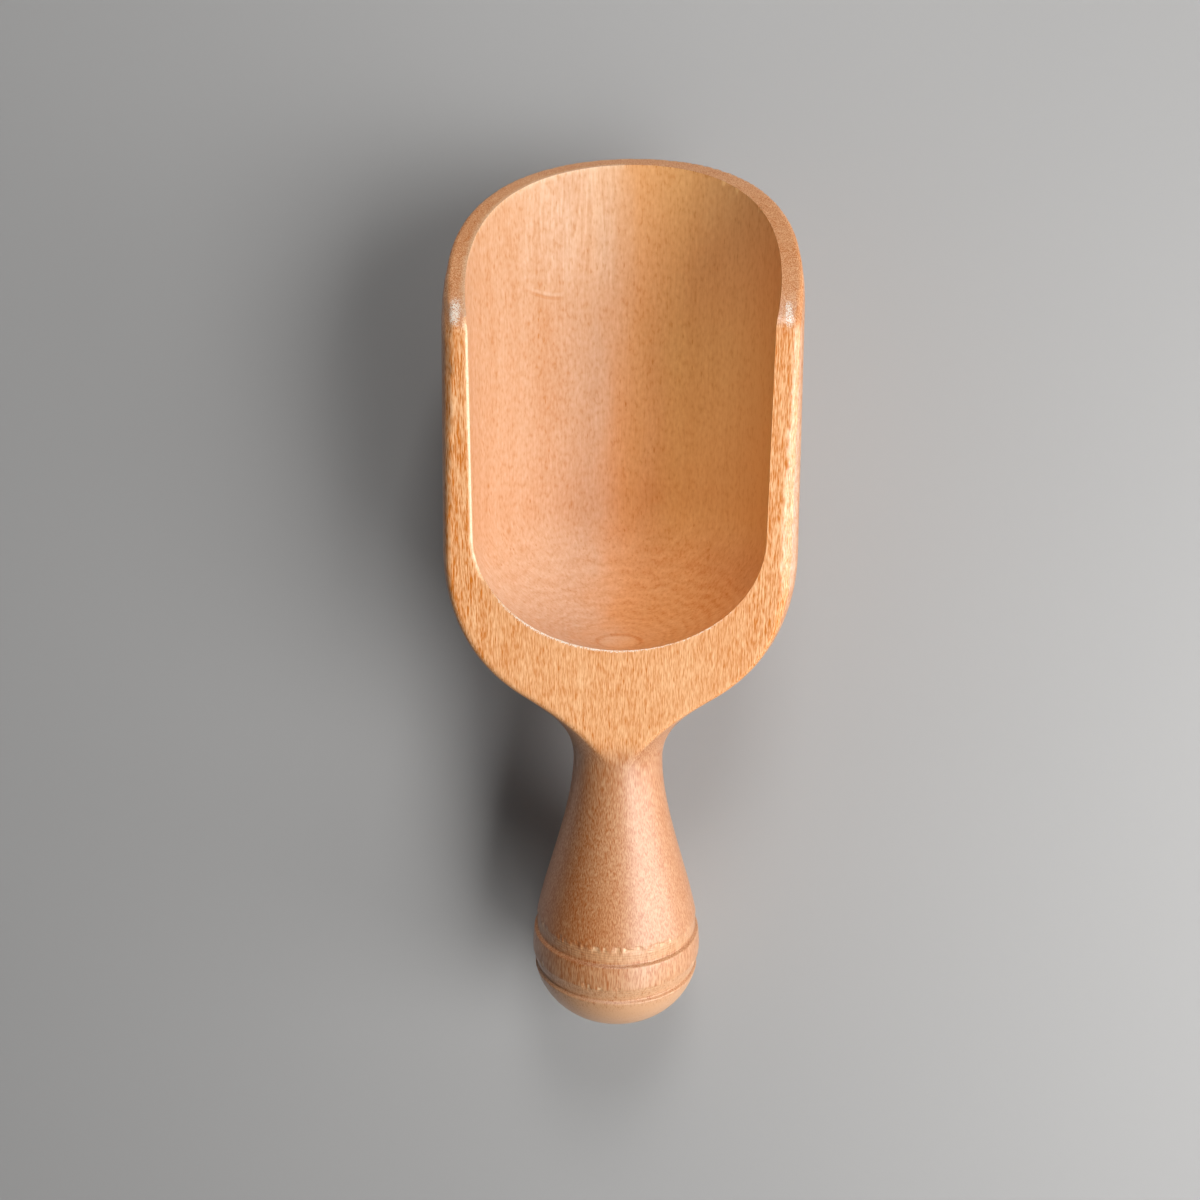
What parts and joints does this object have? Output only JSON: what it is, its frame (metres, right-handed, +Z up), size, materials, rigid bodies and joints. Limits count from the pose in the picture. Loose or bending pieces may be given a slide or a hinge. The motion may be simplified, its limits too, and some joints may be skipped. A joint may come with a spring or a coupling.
{
  "type": "wooden scoop",
  "caption": "Small turned wooden scoop: bored bowl with a round end, sawn flat rim and swept front lip, on a stubby knobbed handle with cut grooves.",
  "frame": {"origin": "middle of the scoop's footprint, on the surface that it lies on", "axes": "+Z up, +Y along the scoop towards the lip, +X to the right when the lip points away; the turning axis rises towards the lip by the angle at which heel and knob both touch the table"},
  "size_m": [0.058, 0.1524, 0.0436],
  "materials": {
    "wood": "satin, oiled, fine short grain flecks along the length"
  },
  "bodies": {
    "root": {"bowl": "wood", "handle": "wood"}
  },
  "joints": []
}
